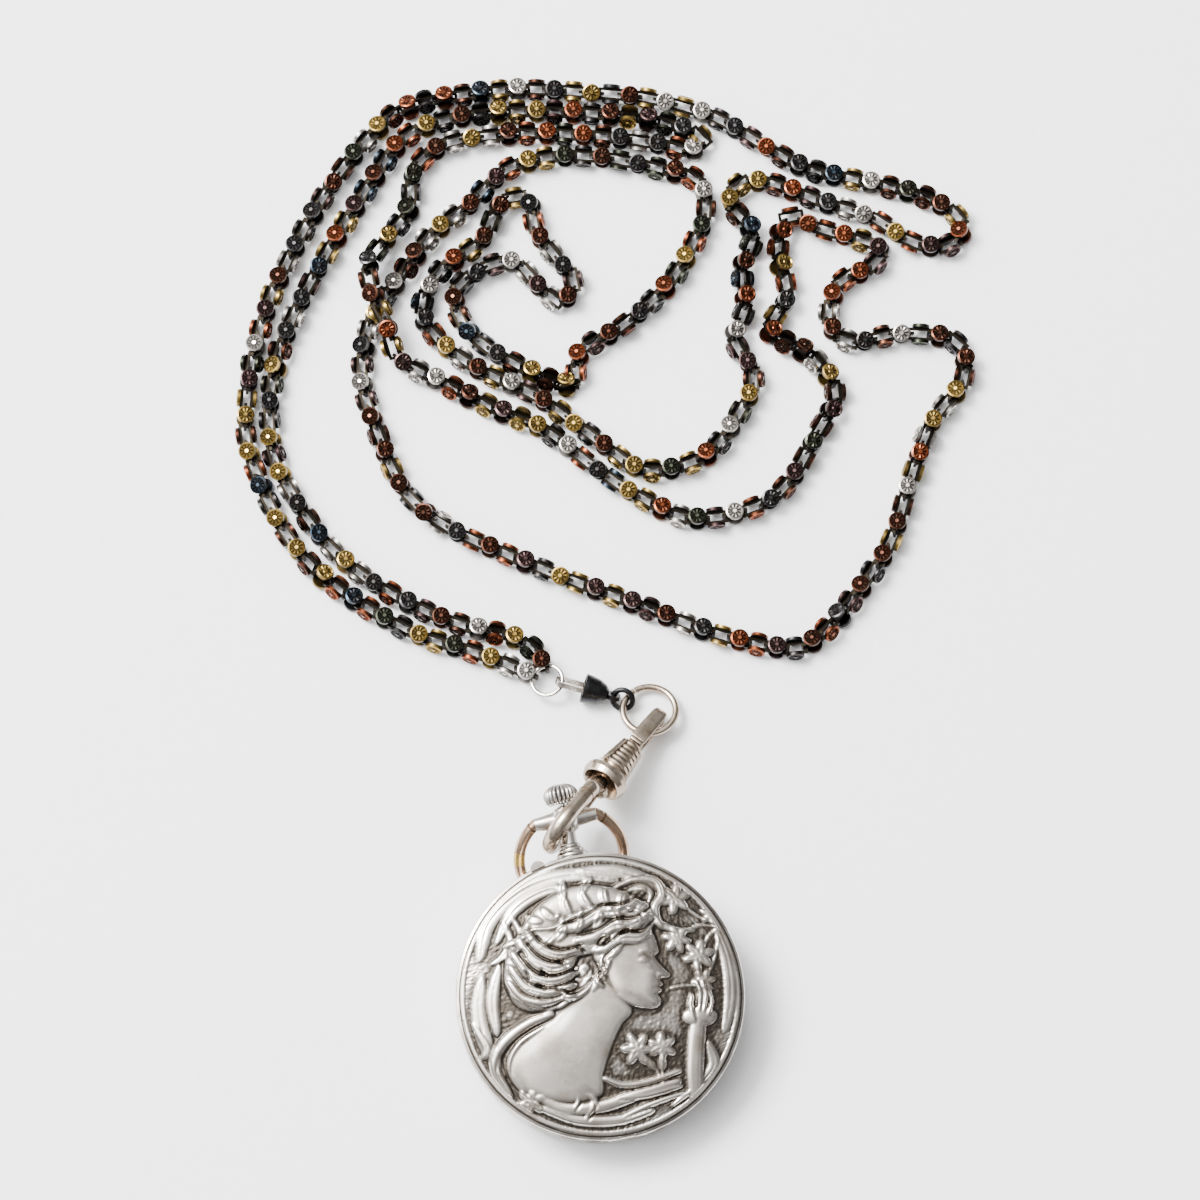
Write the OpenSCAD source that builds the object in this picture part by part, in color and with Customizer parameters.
// A long gentleman's watch chain of buttoned links, folded and lying in loops,
// with its rings, end cap and swivel clip, and the pocket watch that it carries.
// Millimetres, +Z up. The origin lies on the table, under the middle of the
// watch and its fittings.

/* [Chain] */
// Width of the chain over its buttons
chain_w = 3.6; // [3.5:0.1:3.7]
// Thickness of the wire that a link's frame is made of
link_wire = 0.5; // [0.45:0.05:0.55]
// Length of one link over its frame
link_len = 4.6; // [4.5:0.1:4.7]
// Diameter of a button
button_d = 3.2; // [3.0:0.1:3.2]
// Thickness of a button
button_t = 0.7; // [0.6:0.05:0.75]

/* [Rings] */
// Middle radius of the small split ring that gathers the chain
small_ring_r = 2.75; // [2.7:0.05:2.8]
// Wire radius of the small split ring
small_wire = 0.4; // [0.38:0.02:0.42]
// Middle radius of the black ring in the end cap's eye
black_ring_r = 1.8; // [1.75:0.05:1.85]
// Wire radius of the black ring
black_wire = 0.5; // [0.45:0.05:0.5]
// Middle radius of the large ring that the swivel hangs on
large_ring_r = 4.65; // [4.6:0.05:4.7]
// Wire radius of the large ring
large_wire = 0.62; // [0.58:0.02:0.64]

/* [Swivel clip] */
// Radius of the hook's bar
hook_bar = 1.45; // [1.35:0.05:1.5]
// Height of the hook's arms above and below its own centre line
hook_rise = 4.6; // [4.5:0.1:4.8]
// Outer radius of the sleeve's bell flange
flange_r = 4.2; // [4.0:0.1:4.3]

/* [Watch case] */
// Outer radius of the case
case_r = 25; // [24.8:0.1:25.2]
// Height of the dome of the back cover above its rim
dome_h = 2.9; // [2.5:0.1:3.2]
// Middle radius of the bow
bow_r = 9.2; // [9.1:0.1:9.3]
// Wire radius of the bow
bow_wire = 1; // [0.95:0.05:1.05]
// Radius of the crown
crown_r = 3.1; // [3.0:0.1:3.2]

/* [Hidden] */
$fn = 48;
gap = 0.05;

// Places and directions
watch_at = [0, -18.2, 8.02];
watch_turn = 11;
watch_tilt = 6.7;
head_r = 31.8;
bow_fold = 33.4;
ring_at = [-9.3, 40.4, 2.5];
ring_tilt = [-3, -12, 0];
cap_at = [-2.9, 39.0, 2.7];
cap_turn = -14;
cap_pitch = 8;
cap_roll = 38;
black_turn = -20;
large_turn = -25;
large_tilt = -14;
clip_at = [7.7, 30.3, 3.7];
clip_turn = 233.4;
clip_rise = 19.1;

// The chain lies in runs that meet end to end
floor_z = chain_w / 2;
over_z = 1.5 * chain_w + 0.2;
outer_left = [
    [-18.3, 44.3], [-24.5, 46.5], [-31, 48.5], [-38, 52], [-45, 56.5], [-51, 61.5],
    [-56, 68], [-60, 76], [-63, 85], [-63, 94], [-61.5, 103], [-59, 112],
    [-55.5, 120], [-51.5, 128], [-47, 135.5], [-42, 142], [-36, 147.5], [-27.5, 150]
];
top_run = [
    [-27.5, 150], [-15, 151.5], [-3, 151], [9, 149.8], [20, 146.5], [28.5, 141.5],
    [37, 136.5], [47, 134], [57, 131.5], [63.5, 128], [65, 124.5], [62, 121.5],
    [56, 122.5], [49, 127], [40, 130], [31, 133.5]
];
right_drop = [
    [31, 133.5], [25.5, 133.5], [23.5, 129.5], [27.5, 124], [25.5, 117.5], [26, 110],
    [24, 104], [27.5, 97], [24.5, 89.5], [18.5, 82], [8, 79.5], [-1, 85.5],
    [-11, 93], [-22, 98.5]
];
inner_left = [
    [-22, 98.5], [-29, 104], [-32, 110], [-28.5, 117], [-21.5, 122.5], [-18, 129.5],
    [-13, 130.5], [-11.5, 124.5], [-8, 119.5], [-4.8, 115], [-7, 111], [-11, 114],
    [-15.5, 118.5], [-21.5, 117], [-26, 112.5], [-23.5, 105.5], [-15.5, 99.5], [-5.5, 95.5],
    [-3.5, 101.5], [4, 106.5], [11.5, 113.5], [16, 120.5], [19, 128]
];
low_bundle = [
    [19, 128], [17.5, 134], [10, 136.5], [0, 138.5], [-9, 138.5], [-17, 136],
    [-23.5, 129.5], [-30.5, 123.5], [-36, 115.5], [-41, 107.5]
];
great_loop = [
    [-41, 107.5], [-42.5, 97], [-39.5, 86], [-35, 76], [-28, 69.5], [-17, 64],
    [-5, 59], [8, 54], [21, 49], [33, 46.5], [38.5, 48.5], [45, 56],
    [51.5, 66], [55, 77], [59, 88], [65, 96.5], [63.5, 103.5], [54, 105],
    [45, 103.5]
];
small_loop = [
    [45, 103.5], [41, 107.5], [43, 114.5], [48.5, 117.5], [50.5, 121], [46, 123],
    [39.5, 125], [34, 127], [32, 121], [33.5, 112.5], [30.5, 105.5], [37.5, 101],
    [42, 94], [38.5, 86], [33, 76.5], [26, 72], [16, 70.5]
];
low_return = [
    [16, 70.5], [7, 74.5], [-1, 80], [-10, 87], [-19, 91], [-27.5, 95.5],
    [-36, 100, 0.35]
];
corner = [
    [-36, 100, 0.35], [-38, 105.5, 0.95], [-40.5, 111, 1.05], [-41.5, 117, 0.8],
    [-38.5, 122.5, 0.2], [-34.5, 128.5], [-33.5, 136], [-28, 141], [-18, 142.8], [-8, 143],
    [3, 142.2], [11, 141], [16, 139.8], [18.5, 142], [12.5, 144.8], [4, 146.4],
    [-8, 147.2], [-20, 147], [-30, 145]
];
middle_left = [
    [-30, 145], [-36, 141.5], [-40.5, 135], [-45, 127.5], [-49.5, 119.5], [-54, 110.5],
    [-57.5, 101], [-59, 91], [-58, 82], [-54.5, 74.5], [-49.5, 67], [-43.5, 61],
    [-36, 56], [-29, 52.5], [-21.5, 49.9], [-15.5, 48.6], [-11.45, 46.05]
];
last_heading = [0.5, -0.866, 0];
tube_sides = 8;

// ---- shapes that several pieces share

// Height of a route's point: on the table, or lifted by its own share of the way over
function lift(p) = floor_z + (len(p) > 2 ? p[2] : 0) * (over_z - floor_z);
function place(p) = [p[0], p[1], lift(p)];
function unit(v) = v / norm(v);

// Direction of the route at point i, halfway between the stretches that meet there
function heading(route, i) =
    unit((i < len(route) - 1 ? unit(place(route[i + 1]) - place(route[i])) : [0, 0, 0])
        + (i > 0 ? unit(place(route[i]) - place(route[i - 1])) : [0, 0, 0]));

// One ring of corners round the route at point i, facing along dir
function tube_ring(p, dir, r) =
    let (side = unit(cross([0, 0, 1], dir)), up = cross(dir, side))
    [for (k = [0 : tube_sides - 1])
        let (a = 360 * (k + 0.5) / tube_sides) p + r * (cos(a) * side + sin(a) * up)];

// A plain tube along one run of the chain. first and last are the ends' headings
module chain_run(route, first, last) {
    n = len(route);
    r = chain_w / 2 - 0.03;
    rings = [for (i = [0 : n - 1])
        each tube_ring(place(route[i]), i == 0 ? first : i == n - 1 ? last : heading(route, i), r)];
    walls = [for (i = [0 : n - 2], k = [0 : tube_sides - 1])
        let (a = i * tube_sides + k, b = i * tube_sides + (k + 1) % tube_sides)
        each [[a, b, b + tube_sides], [a, b + tube_sides, a + tube_sides]]];
    polyhedron(points = rings, faces = [each [for (w = walls) [w[2], w[1], w[0]]],
        [for (k = [0 : tube_sides - 1]) k],
        [for (k = [tube_sides - 1 : -1 : 0]) (n - 1) * tube_sides + k]]);
}

// Heading where one run meets the next
function joint_heading(a, b) =
    unit(unit(place(a[len(a) - 1]) - place(a[len(a) - 2])) + unit(place(b[1]) - place(b[0])));

// A ring of round wire in the XY plane, open over an angle at its right
module wire_ring(r, wire, opening = 0) {
    rotate([0, 0, opening / 2])
        rotate_extrude(angle = 360 - opening)
            translate([r, 0]) circle(r = wire);
}

// A round rod along Z from z0 to z1
module rod(r, z0, z1) {
    translate([0, 0, z0]) cylinder(r = r, h = z1 - z0);
}

// A round rod between two places
module strut(a, b, r) {
    v = b - a;
    translate(a)
        rotate([0, acos(v[2] / norm(v)), atan2(v[1], v[0])])
            cylinder(r = r, h = norm(v));
}

// One chain link along X: a wire frame, with a button on each long side at +-Z
module chain_link() {
    frame_h = chain_w - 2 * button_t;
    half = link_len / 2 - link_wire / 2;
    rise = frame_h / 2 - link_wire / 2;
    for (s = [-1, 1]) {
        translate([-link_len / 2, -link_wire / 2, s * rise - link_wire / 2])
            cube([link_len, link_wire, link_wire]);
        translate([s * half - link_wire / 2, -link_wire / 2, -rise])
            cube([link_wire, link_wire, 2 * rise]);
        translate([0, 0, s > 0 ? frame_h / 2 : -chain_w / 2])
            cylinder(r = button_d / 2, h = button_t);
    }
}

// Puts its children in the watch's own frame: +Y to the crown, +Z to the back
module in_watch() {
    translate(watch_at) rotate([0, 0, watch_turn]) rotate([watch_tilt, 0, 0]) children();
}

// Puts its children in the swivel's own frame: +X along the clip, +Z above it
module in_clip() {
    translate(clip_at) rotate([0, 0, clip_turn]) rotate([0, -clip_rise, 0]) children();
}

// ---- the chain

module chain_outer_left() color("dimgray")
    chain_run(outer_left, first_dir,
        joint_heading(outer_left, top_run));
module chain_top_run() color("darkgoldenrod")
    chain_run(top_run, joint_heading(outer_left, top_run), joint_heading(top_run, right_drop));
module chain_right_drop() color("sienna")
    chain_run(right_drop, joint_heading(top_run, right_drop),
        joint_heading(right_drop, inner_left));
module chain_inner_left() color("dimgray")
    chain_run(inner_left, joint_heading(right_drop, inner_left),
        joint_heading(inner_left, low_bundle));
module chain_low_bundle() color("slategray")
    chain_run(low_bundle, joint_heading(inner_left, low_bundle),
        joint_heading(low_bundle, great_loop));
module chain_great_loop() color("darkgoldenrod")
    chain_run(great_loop, joint_heading(low_bundle, great_loop),
        joint_heading(great_loop, small_loop));
module chain_small_loop() color("sienna")
    chain_run(small_loop, joint_heading(great_loop, small_loop),
        joint_heading(small_loop, low_return));
module chain_low_return() color("dimgray")
    chain_run(low_return, joint_heading(small_loop, low_return),
        joint_heading(low_return, corner));
module chain_corner() color("slategray")
    chain_run(corner, joint_heading(low_return, corner), joint_heading(corner, middle_left));
module chain_middle_left() color("darkgoldenrod")
    chain_run(middle_left, joint_heading(corner, middle_left), last_heading);

// Links at the two ends of the loop. a is the way round from +X, roll turns the buttons
module link_at(p, a, roll) {
    translate(p) rotate([0, 0, a]) rotate([roll, 0, 0]) chain_link();
}

first_a = atan2(ring_at[1] - outer_left[0][1], ring_at[0] - outer_left[0][0]);
first_dir = [cos(first_a), sin(first_a), 0];
first_at = place(outer_left[0]) + (link_len / 2 + 0.02) * first_dir;
end_at = first_at + 3.46 * first_dir + [0, 0, 0.08];
last_a = atan2(last_heading[1], last_heading[0]);
last_at = place(middle_left[len(middle_left) - 1]) + (link_len / 2 + 0.02) * last_heading
    + [0, 0, 0.46];

module first_link() color("saddlebrown") link_at(first_at, first_a, 90);
module end_link() color("silver") link_at(end_at, first_a, 0);
module last_link() color("firebrick") link_at(last_at, last_a, 0);

// ---- rings, connecting link and end cap

module small_ring() color("gainsboro")
    translate(ring_at) rotate(ring_tilt)
        rotate([0, 0, -95]) wire_ring(small_ring_r, small_wire, 5);

// The cap's own frame: +X from its open mouth to its eye
module in_cap() {
    translate(cap_at) rotate([0, cap_pitch, cap_turn]) rotate([cap_roll, 0, 0]) children();
}

// A flat strip bent into a loop round the small ring, with both ends in the cap
loop_x = -3.6;
loop_half = 1.18;
strip_t = 0.35;
strip_w = 0.9;
module connecting_link() color("silver")
    in_cap() difference() {
        union() {
            for (s = [-1, 1])
                translate([loop_x, -strip_w / 2, s * (loop_half + strip_t / 2) - strip_t / 2])
                    cube([2.4 - loop_x, strip_w, strip_t]);
            translate([loop_x, 0, 0]) rotate([90, 0, 0]) difference() {
                translate([0, 0, -strip_w / 2]) cylinder(r = loop_half + strip_t, h = strip_w);
                translate([0, 0, -1]) cylinder(r = loop_half, h = 2);
                translate([0, -3, -1]) cube([3, 6, 2]);
            }
        }
        translate([1.6, 0, -3]) cylinder(r = 0.32, h = 6);
    }

cap_base_r = 2.6;
cap_len = 4.6;
eye_x = 5.45;
module end_cap() color([0.12, 0.12, 0.12])
    in_cap() difference() {
        union() {
            rotate([0, 90, 0]) rotate_extrude() polygon([
                [0, cap_len], [0.9, cap_len - 0.1], [1.6, cap_len - 0.7], [2.2, cap_len - 1.9],
                [cap_base_r, 0.6], [cap_base_r, 0], [cap_base_r - 0.4, 0],
                [cap_base_r - 0.45, 0.8], [1.8, 2.6], [1.2, 3.4], [0, 3.6]
            ]);
            translate([eye_x, 0, 0]) rotate([90, 0, 0])
                translate([0, 0, -0.4]) cylinder(r = 1.25, h = 0.8);
        }
        translate([eye_x, 0, 0]) rotate([90, 0, 0])
            translate([0, 0, -2]) cylinder(r = 0.65, h = 4);
        translate([1.6, 0, -4]) cylinder(r = 0.32, h = 8);
    }

module cap_pin() color("black")
    in_cap() translate([1.6, 0, 0]) rod(0.32, -2.45, 2.45);

// The black ring hangs from the eye, and the large ring from the black one
eye_at = cap_at + eye_x * [cos(cap_pitch) * cos(cap_turn), cos(cap_pitch) * sin(cap_turn),
    -sin(cap_pitch)];
black_dir = [cos(black_turn), sin(black_turn), 0];
black_at = eye_at + (black_ring_r - 0.03) * black_dir;
large_dir = [cos(large_turn), sin(large_turn) * cos(large_tilt), sin(large_turn) * sin(large_tilt)];
large_at = black_at + 0.5 * black_dir + large_ring_r * large_dir;
module black_ring() color([0.15, 0.15, 0.15])
    translate(black_at) rotate([0, 0, black_turn]) rotate([cap_roll, 0, 0])
        rotate([0, 0, 225]) wire_ring(black_ring_r, black_wire, 4);

module large_ring() color("tan")
    translate(large_at) rotate([large_tilt, 0, 0])
        rotate([0, 0, 125]) wire_ring(large_ring_r, large_wire, 3);

// ---- swivel clip

eye_half = 1.0;
eye_strap = 0.8;
eye_back = -4.2;
neck_x = 2.9;
post_r = 0.85;
sleeve_x0 = 3.6;
sleeve_x1 = 13.4;
module swivel_eye() color("rosybrown")
    in_clip() {
        for (s = [-1, 1])
            translate([eye_back, -1.5, s > 0 ? eye_half : -eye_half - eye_strap])
                cube([neck_x - 0.8 - eye_back, 3, eye_strap]);
        translate([eye_back, 0, 0]) rotate([90, 0, 0]) difference() {
            translate([0, 0, -1.5]) cylinder(r = eye_half + eye_strap, h = 3);
            translate([0, 0, -2]) cylinder(r = eye_half, h = 4);
            translate([0, -5, -2]) cube([5, 10, 4]);
        }
        intersection() {
            translate([neck_x - 0.8, -1.5, -eye_half - eye_strap])
                cube([1.2, 3, 2 * (eye_half + eye_strap)]);
            translate([neck_x - 1, 0, 0]) rotate([0, 90, 0]) cylinder(r = 1.8, h = 2);
        }
        rotate([0, 90, 0]) rod(post_r, neck_x, 6.4);
        rotate([0, 90, 0]) rod(1.5, 6.4, 7.4);
    }

// Profile of the folded sleeve along its axis: ribs, then the bell flange
rib_count = 6;
rib_pitch = 1.05;
function rib_r(x) = 2.15 + 0.13 * (x - sleeve_x0);
stub_x0 = 9.0;
stub_r = 2.2;
module swivel_sleeve() color("rosybrown")
    in_clip() rotate([0, 90, 0]) difference() {
        rotate_extrude() polygon(concat(
            [[0, sleeve_x0], [1.9, sleeve_x0]],
            [for (i = [0 : rib_count - 1], k = [0 : 3])
                let (x = sleeve_x0 + 0.3 + (i + k / 4) * rib_pitch)
                [rib_r(x) + [-0.15, 0.12, 0.12, -0.15][k], x]],
            [[3.1, 10.4], [3.6, 10.9], [flange_r, 11.6], [flange_r, 12.5], [3.8, sleeve_x1],
             [3.4, sleeve_x1], [stub_r, 11], [stub_r, stub_x0], [0, stub_x0]]));
        rod(post_r + gap, sleeve_x0 - 1, 6.3);
        rod(1.6, 6.3, 7.5);
    }

// The hook: a stub in the sleeve, a fixed upper arm, a round bend and a short lower tip
bend_x = 24.2;
arm_x = 18.0;
tip_x = 22.4;
gate_pivot = [14.0, 0, -1.1];
module hook() color("rosybrown")
    in_clip() difference() {
        union() {
            rotate([0, 90, 0]) rotate_extrude() polygon([
                [0, stub_x0], [stub_r, stub_x0], [stub_r, 14.6], [1.9, 15.3], [1.2, 15.7],
                [0, 15.8]
            ]);
            strut([13.6, 0, 0.7], [arm_x, 0, hook_rise], hook_bar);
            translate([arm_x, 0, hook_rise]) sphere(r = hook_bar);
            strut([arm_x, 0, hook_rise], [bend_x, 0, hook_rise], hook_bar);
            translate([bend_x, 0, 0]) rotate([90, 0, 0]) rotate([0, 0, -90])
                rotate_extrude(angle = 180) translate([hook_rise, 0]) circle(r = hook_bar);
            strut([tip_x, 0, -hook_rise], [bend_x, 0, -hook_rise], hook_bar);
        }
        // Room for the gate's root, its pin and its spring
        translate([12.8, -1.0, -3]) cube([4, 2.0, 2.85]);
        translate(gate_pivot) rotate([90, 0, 0]) rod(0.4, -3, 3);
    }

gate_boss = 0.8;
module gate() color("rosybrown")
    in_clip() difference() {
        union() {
            translate(gate_pivot) rotate([90, 0, 0]) rod(gate_boss, -0.95, 0.4);
            strut(gate_pivot + [0.3, 0.27, -0.25], [arm_x, 0, -hook_rise], 0.6);
            translate([arm_x, 0, -hook_rise]) sphere(r = 1.15);
            strut([arm_x, 0, -hook_rise], [tip_x - 0.12, 0, -hook_rise], 1.15);
        }
        translate(gate_pivot) rotate([90, 0, 0]) rod(0.45, -4, 4);
    }

module gate_pin() color("gray")
    in_clip() translate(gate_pivot) rotate([90, 0, 0]) rod(0.4, -1.85, 1.85);

// A coil of the torsion spring, round the pin beside the gate's root
module gate_spring() color("steelblue")
    in_clip() translate(gate_pivot) rotate([90, 0, 0])
        rotate_extrude() polygon([[0.48, 0.48], [0.75, 0.48], [0.75, 0.92], [0.48, 0.92]]);

// ---- watch case. Radius and height pairs, +Z to the back

band_r = case_r - 0.5;
cavity_r = 21.2;
hinge_r = case_r - 0.8;
hinge_z = 2.75;

module hinge_line() {
    translate([0, -hinge_r, hinge_z]) rotate([0, 90, 0]) children();
}

module case_band() color("silver")
    in_watch() difference() {
        union() {
            difference() {
                rotate_extrude() polygon([
                    [cavity_r, -3.0], [band_r, -3.0], [band_r, 2.6],
                    [22.6, 2.6], [22.6, 2.8], [21.9, 2.8], [21.9, 2.43],
                    [21.5, 2.43], [21.5, plate_z - 0.05], [cavity_r, plate_z - 0.05]
                ]);
                hinge_line() cylinder(r = 1.25, h = 13, center = true);
            }
            hinge_line() cylinder(r = 0.75, h = 2.6, center = true);
            translate([-1.3, -hinge_r, 0.4]) cube([2.6, 1.1, 2.0]);
        }
        hinge_line() cylinder(r = 0.35, h = 20, center = true);
        rotate([-90, 0, 0]) rod(1.5, 18, 28);
    }

// The cover's dome as one arc of a large sphere, over a flat rim
dome_r0 = 23.2;
dome_base = 3.3;
sphere_r = (dome_r0 * dome_r0 + dome_h * dome_h) / (2 * dome_h);
function dome_z(r) = dome_base + dome_h - sphere_r + sqrt(sphere_r * sphere_r - r * r);
module back_cover() color("gainsboro")
    in_watch() difference() {
        union() {
            difference() {
                rotate_extrude() polygon(concat(
                    [[case_r - 0.1, 2.65], [case_r, 2.9], [case_r - 0.15, 3.3], [24.3, 3.55]],
                    [for (i = [8 : -1 : 0]) [dome_r0 * i / 8, dome_z(dome_r0 * i / 8)]],
                    [for (i = [0 : 8]) [22.6 * i / 8, dome_z(22.6 * i / 8) - 0.5]],
                    [[23.3, 2.65]]));
                hinge_line() cylinder(r = 0.85, h = 2.9, center = true);
                translate([-1.45, -case_r - 1, 2]) cube([2.9, 1.6, 2]);
            }
            for (s = [-1, 1]) translate([s * 2.45, 0, 0])
                hinge_line() cylinder(r = 0.72, h = 1.9, center = true);
            // Thumb lip, beside the pendant
            rotate([0, 0, 15]) translate([0, case_r - 0.35, 2.95]) intersection() {
                cylinder(r = 1.3, h = 0.7);
                translate([-2, 0, 0]) cube([4, 3, 1]);
            }
        }
        hinge_line() cylinder(r = 0.35, h = 20, center = true);
    }

module cover_hinge_pin() color("gray")
    in_watch() hinge_line() cylinder(r = 0.3, h = 6.6, center = true);

module dust_cover() color("lightgray")
    in_watch() difference() {
        union() {
            rod(21.85, 2.45, 2.7);
            rotate_extrude() polygon([[20.6, 2.25], [21.1, 2.25], [21.15, 2.5], [20.6, 2.5]]);
        }
        translate([0, 21.9, 2]) cylinder(r = 1.2, h = 2);
    }

module bezel() color("silver")
    in_watch() rotate_extrude() polygon([
        [19.9, -5.2], [23.4, -5.2], [24.6, -4.6], [24.8, -3.8], [24.6, -3.05],
        [21.3, -3.05], [21.3, -4.1], [20.65, -4.1], [20.65, -4.95], [19.9, -4.95]
    ]);

module crystal() color([0.85, 0.9, 0.95, 0.4])
    in_watch() rod(20.6, -4.9, -4.15);

// Pendant: neck with two collars, and a round head with an arm to each side
head_ball = 2.5;
arm_end = 5.4;
pin_len = 0.9;
module pendant() color("silver")
    in_watch() difference() {
        union() {
            rotate([-90, 0, 0]) rotate_extrude() polygon([
                [0, 21.4], [1.5, 21.4], [1.5, 24.72], [2.6, 24.85], [2.75, 25.4], [2.45, 26.0],
                [1.7, 26.3], [1.3, 26.7], [1.55, 26.9], [1.55, 27.2], [1.3, 27.4],
                [1.3, 29.4], [2.1, 30.0], [2.1, 33.4], [1.6, 33.8], [0, 33.8]
            ]);
            translate([0, head_r, 0]) sphere(r = head_ball);
            translate([0, head_r, 0]) rotate([0, 90, 0]) {
                cylinder(r1 = 1.9, r2 = 1.1, h = arm_end);
                mirror([0, 0, 1]) cylinder(r1 = 1.9, r2 = 1.1, h = arm_end);
                cylinder(r = 0.5, h = 2 * (arm_end + pin_len), center = true);
            }
        }
        rotate([-90, 0, 0]) rod(0.55, 20, 36);
    }

// Bow: one round wire ring, cut off square at the pendant's arms
bow_centre = sqrt(bow_r * bow_r - arm_end * arm_end);
module bow() color("rosybrown")
    in_watch() translate([0, head_r, 0]) rotate([bow_fold, 0, 0]) difference() {
        translate([0, -bow_centre, 0]) wire_ring(bow_r, bow_wire);
        translate([-arm_end - gap, -4, -3]) cube([2 * (arm_end + gap), 9, 6]);
        rotate([0, 90, 0]) cylinder(r = 0.56, h = 2 * (arm_end + pin_len + 0.2), center = true);
    }

crown_y = 36.2;
crown_h = 3.4;
flutes = 20;
module crown() color("silver")
    in_watch() rotate([-90, 0, 0]) difference() {
        rotate_extrude() polygon([
            [0, crown_y - crown_h / 2], [1.9, crown_y - crown_h / 2],
            [2.8, crown_y - 1.2], [crown_r, crown_y - 0.3], [crown_r, crown_y + 0.5],
            [2.5, crown_y + 1.2], [1.3, crown_y + crown_h / 2], [0, crown_y + crown_h / 2]
        ]);
        for (i = [0 : flutes - 1]) rotate([0, 0, i * 360 / flutes])
            translate([crown_r + 0.12, 0, crown_y - 3]) cylinder(r = 0.34, h = 6);
        rod(0.45, crown_y - 3, crown_y + 0.6);
    }

module stem() color("gray")
    in_watch() rotate([-90, 0, 0]) {
        rod(0.45, 14.6, crown_y + 0.6);
        rod(0.95, 15.2, 16.6);
        rod(0.75, 18.3, 18.8);
        rod(0.75, 17.3, 17.8);
    }

module setting_lever() color("gray")
    in_watch() difference() {
        translate([0.5, 17.84, -0.3]) cube([2.6, 0.42, 0.6]);
        translate([0, 10, 0]) rotate([-90, 0, 0]) cylinder(r = 0.5, h = 10);
    }

// ---- dial side

module dial() color("white")
    in_watch() difference() {
        rod(20.9, -2.7, -2.2);
        translate([0, -10, -3]) cylinder(r = 0.4, h = 2);
        translate([0, 0, -3]) cylinder(r = 1.2, h = 2);
    }

// A tapered hand from its boss, pointing to +Y at the given height
module hand(len, w, tail, boss, hole, z0, t) {
    difference() {
        union() {
            rod(boss, z0, z0 + t);
            translate([0, 0, z0]) linear_extrude(t)
                polygon([[-w / 2, -tail], [w / 2, -tail], [w, len * 0.7], [0, len], [-w, len * 0.7]]);
        }
        translate([0, 0, z0 - 1]) cylinder(r = hole, h = t + 2);
    }
}

hour_a = 58;
minute_a = -52;
second_a = 20;
module hour_hand() color("navy")
    in_watch() {
        rotate([0, 0, hour_a]) hand(11, 0.8, 0, 1.3, 0.98, -3.1, 0.15);
        difference() {
            union() {
                rod(0.98, -3.1, -1.6);
                rod(3.2, -1.95, -1.6);
            }
            rod(0.72, -4, 0);
        }
    }
module minute_hand() color("navy")
    in_watch() {
        rotate([0, 0, minute_a]) hand(17, 0.6, 2.5, 1.1, 0.64, -3.5, 0.15);
        difference() {
            union() {
                rod(0.64, -3.5, -1.2);
                rod(0.66, -1.55, -1.15);
            }
            rod(0.4, -5, 1);
        }
    }
module second_hand() color("navy")
    in_watch() translate([0, -10, 0])
        rotate([0, 0, second_a]) hand(4.2, 0.25, 1.5, 0.5, 0.22, -2.95, 0.12);
module minute_wheel() color("goldenrod")
    in_watch() translate([3.0, 0, 0]) difference() {
        union() {
            rod(1.9, -1.5, -1.2);
            rod(0.5, -1.5, -1.25);
        }
        rod(0.35, -3, 0);
    }

// ---- movement

plate_z = -0.7;
bridge_z = 1.4;
bridge_t = 0.8;
barrel_at = [-5.8, 5.8];
third_at = [-2.0, -5.5];
fourth_at = [0, -10];
escape_at = [4.7, -10];
pallet_at = [7.6, -8.2];
balance_at = [10.8, -1.6];
pivot_r = 0.22;
hole_r = 0.27;
jewelled = [third_at, fourth_at, escape_at, pallet_at, balance_at];

// A wheel with crossings cut out, its pinion and its arbor between the plates
module train_wheel(at, r, z0, pinion_r, p0, p1, top = bridge_z) {
    translate([at[0], at[1], 0]) {
        difference() {
            rod(r, z0, z0 + 0.3);
            for (i = [0 : 3]) rotate([0, 0, i * 90 + 45])
                translate([r * 0.55, 0, z0 - 1]) cylinder(r = r * 0.26, h = 3);
        }
        rod(pinion_r, p0, p1);
        rod(0.4, plate_z + 0.06, top - 0.06);
        rod(pivot_r, plate_z - 0.6, top + 0.5);
    }
}

module main_plate() color("gold")
    in_watch() difference() {
        rod(21.1, -2.15, plate_z);
        rod(0.62, -3, 0);
        translate([0, 0, -2.2]) cylinder(r = 5.2, h = 1.1);
        bored(jewelled, 0.7, -1.5, 2);
        bored(jewelled, 0.4, -3, 4);
        bored([barrel_at], 1.05, -3, 4);
        translate([-2, 13.9, -1.9]) cube([5.4, 8, 2]);
        for (a = case_screw_a) rotate([0, 0, a]) translate([0, -19.9, -1.8]) cylinder(r = 0.5, h = 3);
        bored(screw_places, 0.4, -1.1, 2);
    }

module barrel() color("goldenrod")
    in_watch() translate([barrel_at[0], barrel_at[1], 0]) difference() {
        union() {
            rod(6.7, plate_z + 0.15, 0.45);
            rod(7.0, plate_z + 0.15, plate_z + 0.5);
            rod(1.0, -2.0, bridge_z + 0.6);
        }
        rotate_extrude() polygon([[1.6, -0.3], [6.4, -0.3], [6.4, 0.2], [1.6, 0.2]]);
    }

module mainspring() color("steelblue")
    in_watch() translate([barrel_at[0], barrel_at[1], 0])
        rotate_extrude() polygon([[4.2, -0.25], [6.35, -0.25], [6.35, 0.15], [4.2, 0.15]]);

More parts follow.
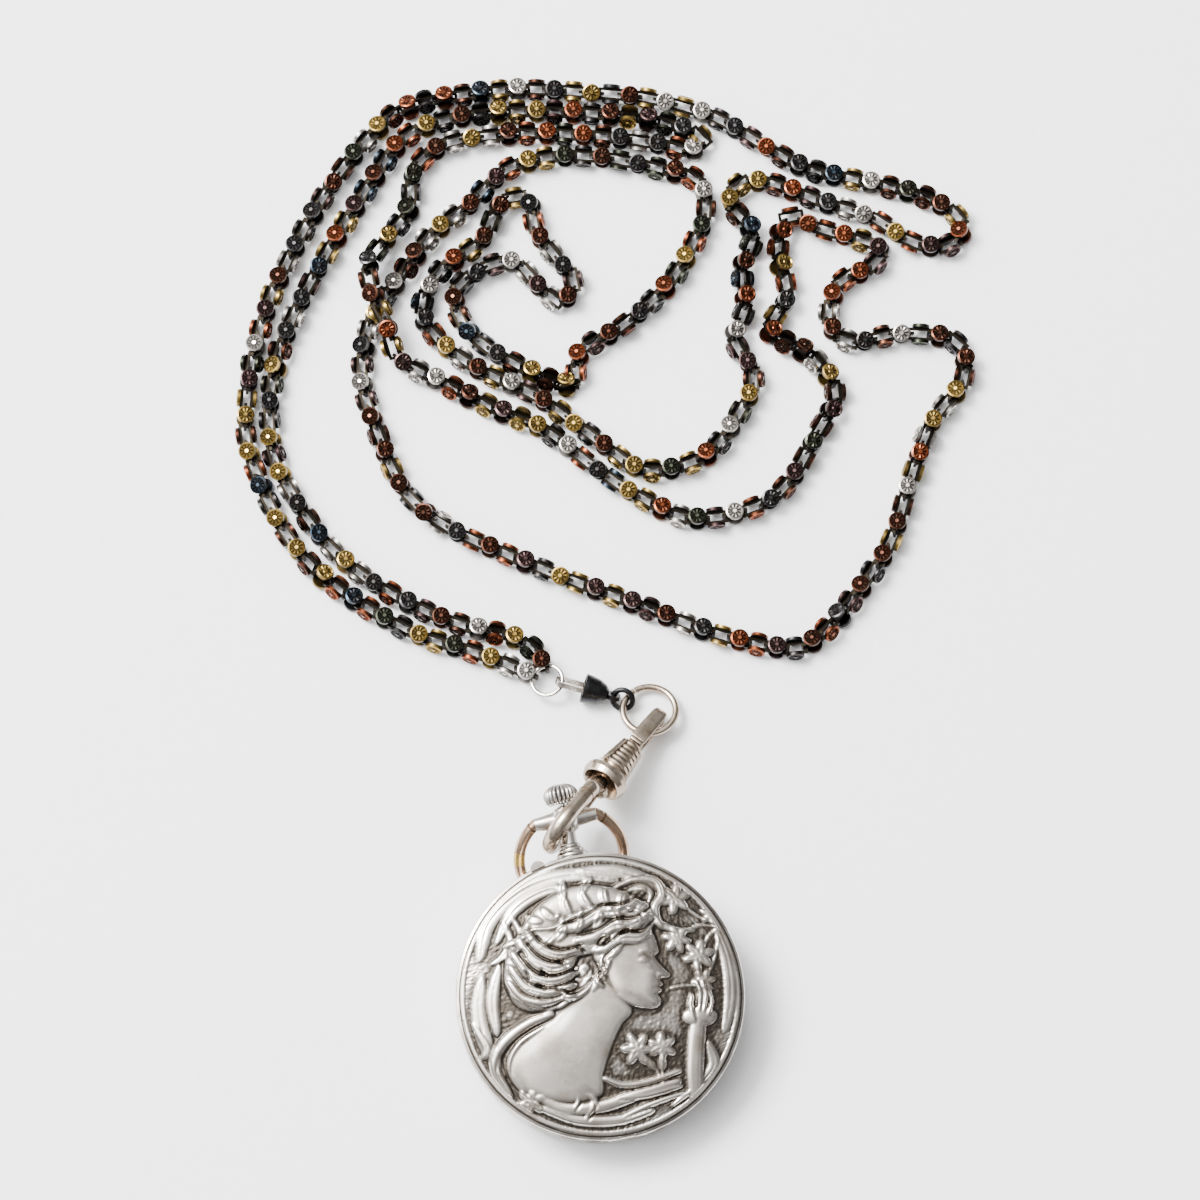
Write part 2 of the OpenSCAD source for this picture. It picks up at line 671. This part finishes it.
module centre_wheel() color("goldenrod")
    in_watch() {
        difference() {
            rod(5.0, 0.7, 1.0);
            for (i = [0 : 3]) rotate([0, 0, i * 90])
                translate([2.8, 0, 0]) cylinder(r = 1.3, h = 3);
        }
        rod(1.0, plate_z + 0.1, 0.6);
        rod(0.5, plate_z + 0.06, bridge_z - 0.06);
        rod(0.36, -3.6, bridge_z + 0.5);
    }

module third_wheel() color("goldenrod")
    in_watch() train_wheel(third_at, 3.95, -0.4, 0.7, 0.6, 1.1);
module fourth_wheel() color("goldenrod")
    in_watch() {
        train_wheel(fourth_at, 3.8, 0.3, 0.8, -0.5, 0.1);
        translate([0, fourth_at[1], 0]) rod(0.2, -2.98, -1);
    }
module escape_wheel() color("silver")
    in_watch() train_wheel(escape_at, 2.5, -0.4, 0.7, 0.25, 0.8);

module pallet_fork() color("silver")
    in_watch() {
        translate([pallet_at[0], pallet_at[1], 0]) {
            rod(0.35, plate_z + 0.06, bridge_z - 0.06);
            rod(pivot_r, plate_z - 0.6, bridge_z + 0.5);
            rod(0.55, 0.1, 0.4);
            rotate([0, 0, -26]) translate([-0.25, 0, 0.1]) cube([0.5, 4.6, 0.25]);
            rotate([0, 0, -26]) translate([-1.5, -0.25, 0.1]) cube([3, 0.5, 0.25]);
        }
    }

module balance() color("goldenrod")
    in_watch() translate([balance_at[0], balance_at[1], 0]) {
        difference() {
            rod(5.4, 0.6, 0.95);
            rod(4.6, 0, 3);
        }
        translate([-4.8, -0.4, 0.6]) cube([9.6, 0.8, 0.3]);
        rod(1.2, 0.45, 0.6);
        rod(0.4, plate_z + 0.06, bridge_z - 0.06);
        rod(pivot_r, plate_z - 0.6, bridge_z + 0.5);
    }

// The flat hairspring, as rings a coil apart that one bar ties together
module hairspring() color("steelblue")
    in_watch() translate([balance_at[0], balance_at[1], 0]) {
        for (i = [0 : 3]) difference() {
            rod(1.0 + i * 0.6, 1.1, 1.25);
            rod(0.85 + i * 0.6, 0, 3);
        }
        translate([0.9, -0.1, 1.1]) cube([2.6, 0.2, 0.15]);
    }

bridge_feet = [[-13.5, -2], [-14, 9], [3.6, 10.6], [-8.5, -13.5]];
cock_foot = [16.4, 5.4];
screw_places = concat(bridge_feet, [cock_foot]);

module bored(places, r, z0, h) {
    for (p = places) translate([p[0], p[1], z0]) cylinder(r = r, h = h);
}

module balance_cock() color("gold")
    in_watch() difference() {
        union() {
            translate([balance_at[0], balance_at[1], bridge_z]) {
                cylinder(r = 2.2, h = bridge_t);
                rotate([0, 0, atan2(cock_foot[1] - balance_at[1], cock_foot[0] - balance_at[0])])
                    translate([0, -1.5, 0]) cube([9, 3, bridge_t]);
            }
            bored([cock_foot], 1.8, plate_z, bridge_z + bridge_t - plate_z);
        }
        bored([balance_at], 0.7, 0, 5);
        bored([cock_foot], 0.4, -2, 6);
    }

module train_bridge() color("gold")
    in_watch() difference() {
        union() {
            intersection() {
                rod(20.0, bridge_z, bridge_z + bridge_t);
                translate([-21, -17, 0]) cube([30.6, 30.2, 5]);
            }
            bored(bridge_feet, 1.5, plate_z, bridge_z - plate_z + 0.1);
        }
        bored([balance_at], 6.3, 0, 5);
        rod(0.42, 0, 5);
        bored([third_at, fourth_at, escape_at, pallet_at], 0.7, 0, 5);
        bored([barrel_at], 1.05, 0, 5);
        bored(bridge_feet, 0.4, -2, 6);
    }

// A slotted screw with its head down at z
module screw(p, z, head, shank, len) {
    translate([p[0], p[1], z]) difference() {
        union() {
            cylinder(r = head, h = 0.25);
            translate([0, 0, -len]) cylinder(r = shank, h = len + 0.1);
        }
        translate([-head, -0.08, 0.12]) cube([2 * head, 0.16, 1]);
    }
}

module movement_screws() color("steelblue")
    in_watch() for (p = screw_places) screw(p, bridge_z + bridge_t, 0.8, 0.4, 3.2);

// Pierced jewels, one in the plate and one in the bridge over it for each arbor
module jewels() color("crimson")
    in_watch() for (p = jewelled, z = [-1.5, bridge_z + 0.1])
        translate([p[0], p[1], z]) difference() {
            cylinder(r = 0.7, h = 0.6);
            translate([0, 0, -1]) cylinder(r = hole_r, h = 3);
        }

case_screw_a = [35, 145];
module case_screws() color("steelblue")
    in_watch() for (a = case_screw_a) rotate([0, 0, a]) screw([0, -19.9], plate_z, 1.4, 0.5, 1.0);

// ---- every piece, drawn when its name or the whole is asked for

chain_outer_left();
chain_top_run();
chain_right_drop();
chain_inner_left();
chain_low_bundle();
chain_great_loop();
chain_small_loop();
chain_low_return();
chain_corner();
chain_middle_left();
first_link();
end_link();
last_link();
small_ring();
connecting_link();
end_cap();
cap_pin();
black_ring();
large_ring();
swivel_eye();
swivel_sleeve();
hook();
gate();
gate_pin();
gate_spring();
case_band();
back_cover();
cover_hinge_pin();
dust_cover();
bezel();
crystal();
pendant();
bow();
crown();
stem();
setting_lever();
dial();
hour_hand();
minute_hand();
second_hand();
minute_wheel();
main_plate();
barrel();
mainspring();
centre_wheel();
third_wheel();
fourth_wheel();
escape_wheel();
pallet_fork();
balance();
hairspring();
balance_cock();
train_bridge();
movement_screws();
jewels();
case_screws();
